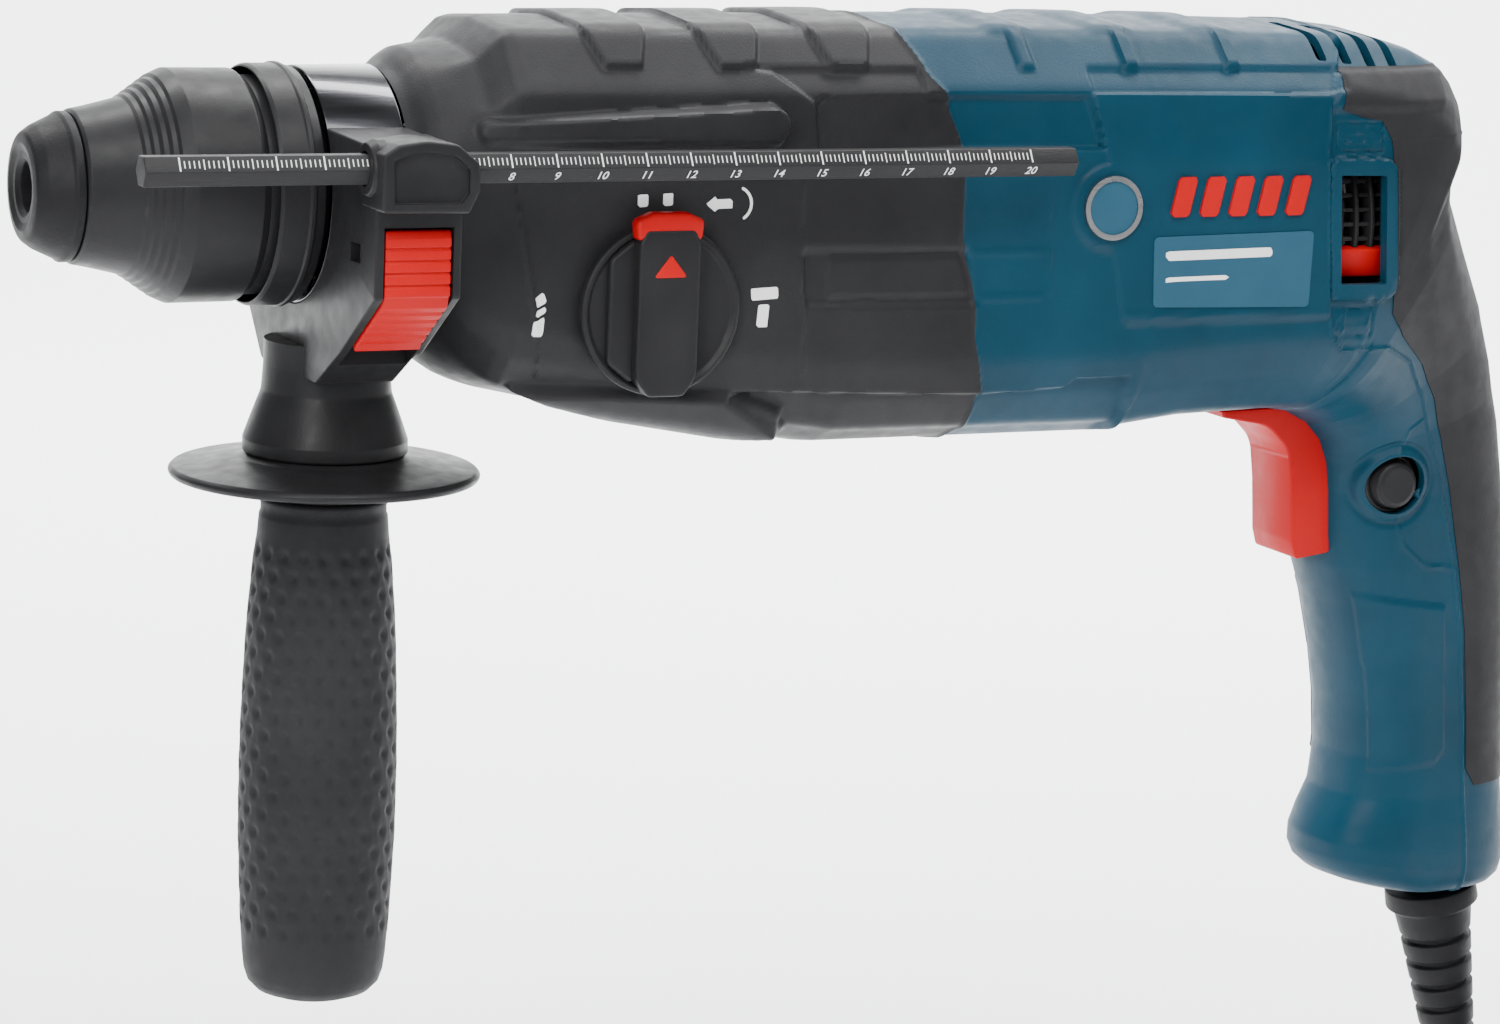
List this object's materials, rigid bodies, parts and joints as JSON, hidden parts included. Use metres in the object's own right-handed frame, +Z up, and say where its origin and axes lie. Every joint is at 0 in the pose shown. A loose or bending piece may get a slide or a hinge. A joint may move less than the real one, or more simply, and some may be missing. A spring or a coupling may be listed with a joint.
{
  "type": "rotary hammer",
  "caption": "Corded rotary hammer: pistol grip with trigger, keyless quick-locking chuck, swivelling side handle with depth rod, mode knob, reversing ring and coiled mains cord.",
  "frame": {"origin": "middle of the main handle's grip, on the machine's middle plane", "axes": "+X to the rear along the spindle, so the chuck points to -X; +Z up; -Y is the side with the mode knob and the depth rod"},
  "size_m": [0.4918, 0.1571, 0.3215],
  "materials": {
    "case_black": "fine moulded texture",
    "case_blue": "satin moulded",
    "soft_black": "dull, finely grained",
    "rubber_black": "smooth",
    "plastic_black": "satin",
    "plastic_red": "satin",
    "steel_dark": "oiled",
    "steel": "turned",
    "aluminium": "die cast",
    "copper": "wound wire",
    "brass": "turned",
    "nylon": "moulded",
    "carbon": "pressed",
    "grey_plastic": "fine texture, printed scale"
  },
  "bodies": {
    "housing": {"gearbox_housing": "case_black", "motor_housing": "case_blue", "rear_cover": "case_blue", "rear_soft_grip": "soft_black", "case_screws": "steel", "hammer_flange": "aluminium", "motor_flange": "aluminium", "shaft_seal": "rubber_black", "spindle_front_bearing": "steel", "spindle_rear_bearing": "steel", "layshaft_bearings": "steel", "armature_bearings": "steel", "air_baffle": "plastic_black", "stator_core": "steel", "field_coils": "copper", "switch_module": "plastic_black", "cable_clamp": "plastic_black", "cord_boot": "rubber_black", "cord_tube": "rubber_black", "cord_coil": "rubber_black", "cord_tail": "rubber_black", "plug_body": "rubber_black", "plug_pins": "brass"},
    "spindle": {"spindle": "steel", "dust_cap": "rubber_black", "chuck_rear_ring": "plastic_black", "locking_balls": "steel", "sleeve_spring": "steel", "spindle_gear": "steel", "clutch_spring": "steel"},
    "locking_sleeve": {"locking_sleeve": "plastic_black"},
    "armature": {"armature_shaft": "steel", "armature_core": "steel", "commutator": "copper", "cooling_fan": "nylon"},
    "layshaft": {"layshaft": "steel", "drive_gear": "steel", "wobble_hub": "steel"},
    "clutch_sleeve": {"clutch_sleeve": "steel"},
    "shift_fork": {"shift_fork": "steel"},
    "mode_knob": {"mode_knob": "plastic_black"},
    "knob_lock": {"knob_lock_button": "plastic_red"},
    "wobble": {"wobble_ring": "steel", "piston_pin": "steel"},
    "piston": {"piston": "aluminium", "piston_o_ring": "rubber_black"},
    "striker": {"striker": "steel"},
    "beat_piece": {"beat_piece": "steel"},
    "reversing_ring": {"reversing_ring": "plastic_black", "brush_holders": "brass", "carbon_brushes": "carbon"},
    "trigger": {"trigger": "plastic_red", "trigger_spring": "steel"},
    "lock_on": {"lock_on_button": "plastic_black"},
    "side_handle": {"clamp_band": "steel_dark", "handle_yoke": "plastic_black"},
    "side_grip": {"grip_core": "plastic_black", "side_grip": "soft_black"},
    "depth_rod": {"depth_rod": "grey_plastic"},
    "depth_release": {"depth_release_button": "plastic_red"}
  },
  "joints": [
    {"name": "armature_spin", "type": "hinge", "parent": "housing", "child": "armature", "pos_m": [-0.093, 0, 0.098], "axis": [1, 0, 0], "continuous": true},
    {"name": "layshaft_spin", "type": "hinge", "parent": "housing", "child": "layshaft", "pos_m": [-0.193, 0, 0.078], "axis": [1, 0, 0], "continuous": true},
    {"name": "spindle_spin", "type": "hinge", "parent": "housing", "child": "spindle", "pos_m": [-0.243, 0, 0.108], "axis": [1, 0, 0], "continuous": true},
    {"name": "sleeve_pull", "type": "slide", "parent": "spindle", "child": "locking_sleeve", "axis": [1, 0, 0], "range_m": [0, 0.0045], "stiffness_N_per_m": 2500, "springref_m": -0.004, "deforming": ["sleeve_spring"]},
    {"name": "clutch_slide", "type": "slide", "parent": "layshaft", "child": "clutch_sleeve", "axis": [1, 0, 0], "range_m": [-0.0031, 0.0031]},
    {"name": "fork_slide", "type": "slide", "parent": "housing", "child": "shift_fork", "axis": [1, 0, 0], "range_m": [-0.0031, 0.0031]},
    {"name": "mode_turn", "type": "hinge", "parent": "housing", "child": "mode_knob", "pos_m": [-0.2152, -0.035, 0.0849], "axis": [0, 1, 0], "range_deg": [-90, 90]},
    {"name": "knob_lock_press", "type": "slide", "parent": "mode_knob", "child": "knob_lock", "axis": [0, 1, 0], "range_m": [0, 0.001], "stiffness_N_per_m": 2000, "springref_m": -0.0015},
    {"name": "wobble_swing", "type": "hinge", "parent": "housing", "child": "wobble", "pos_m": [-0.171, 0, 0.078], "axis": [0, 1, 0], "range_deg": [-10.5, 10.5]},
    {"name": "piston_slide", "type": "slide", "parent": "housing", "child": "piston", "axis": [1, 0, 0], "range_m": [-0.0055, 0.0055]},
    {"name": "striker_slide", "type": "slide", "parent": "spindle", "child": "striker", "axis": [1, 0, 0], "range_m": [0, 0.0075]},
    {"name": "beat_piece_slide", "type": "slide", "parent": "spindle", "child": "beat_piece", "axis": [1, 0, 0], "range_m": [-0.003, 0.0008]},
    {"name": "reversing_turn", "type": "hinge", "parent": "housing", "child": "reversing_ring", "pos_m": [-0.04, 0, 0.098], "axis": [1, 0, 0], "range_deg": [-30, 0]},
    {"name": "trigger_pull", "type": "slide", "parent": "housing", "child": "trigger", "axis": [1, 0, 0], "range_m": [0, 0.0055], "stiffness_N_per_m": 1200, "springref_m": -0.004, "deforming": ["trigger_spring"]},
    {"name": "lock_on_press", "type": "slide", "parent": "housing", "child": "lock_on", "axis": [0, 1, 0], "range_m": [0, 0.0025], "stiffness_N_per_m": 1200, "springref_m": -0.002},
    {"name": "side_handle_swing", "type": "hinge", "parent": "housing", "child": "side_handle", "pos_m": [-0.276, 0, 0.108], "axis": [1, 0, 0], "range_deg": [-18, 28]},
    {"name": "side_grip_twist", "type": "hinge", "parent": "side_handle", "child": "side_grip", "pos_m": [-0.276, 0, -0.002], "axis": [0, 0, 1], "range_deg": [-360, 0]},
    {"name": "depth_rod_slide", "type": "slide", "parent": "side_handle", "child": "depth_rod", "axis": [1, 0, 0], "range_m": [-0.13, 0.045]},
    {"name": "depth_release_press", "type": "slide", "parent": "side_handle", "child": "depth_release", "axis": [0, 1, 0], "range_m": [0, 0.002], "stiffness_N_per_m": 1500, "springref_m": -0.002}
  ],
  "couplings": [
    {"joint": "layshaft_spin", "follows": "armature_spin", "ratio": -0.25},
    {"joint": "spindle_spin", "follows": "armature_spin", "ratio": 0.074324},
    {"joint": "clutch_slide", "follows": "mode_turn", "m_per_rad": -0.0019099},
    {"joint": "fork_slide", "follows": "mode_turn", "m_per_rad": -0.0019099},
    {"joint": "piston_slide", "follows": "wobble_swing", "m_per_rad": 0.03}
  ]
}
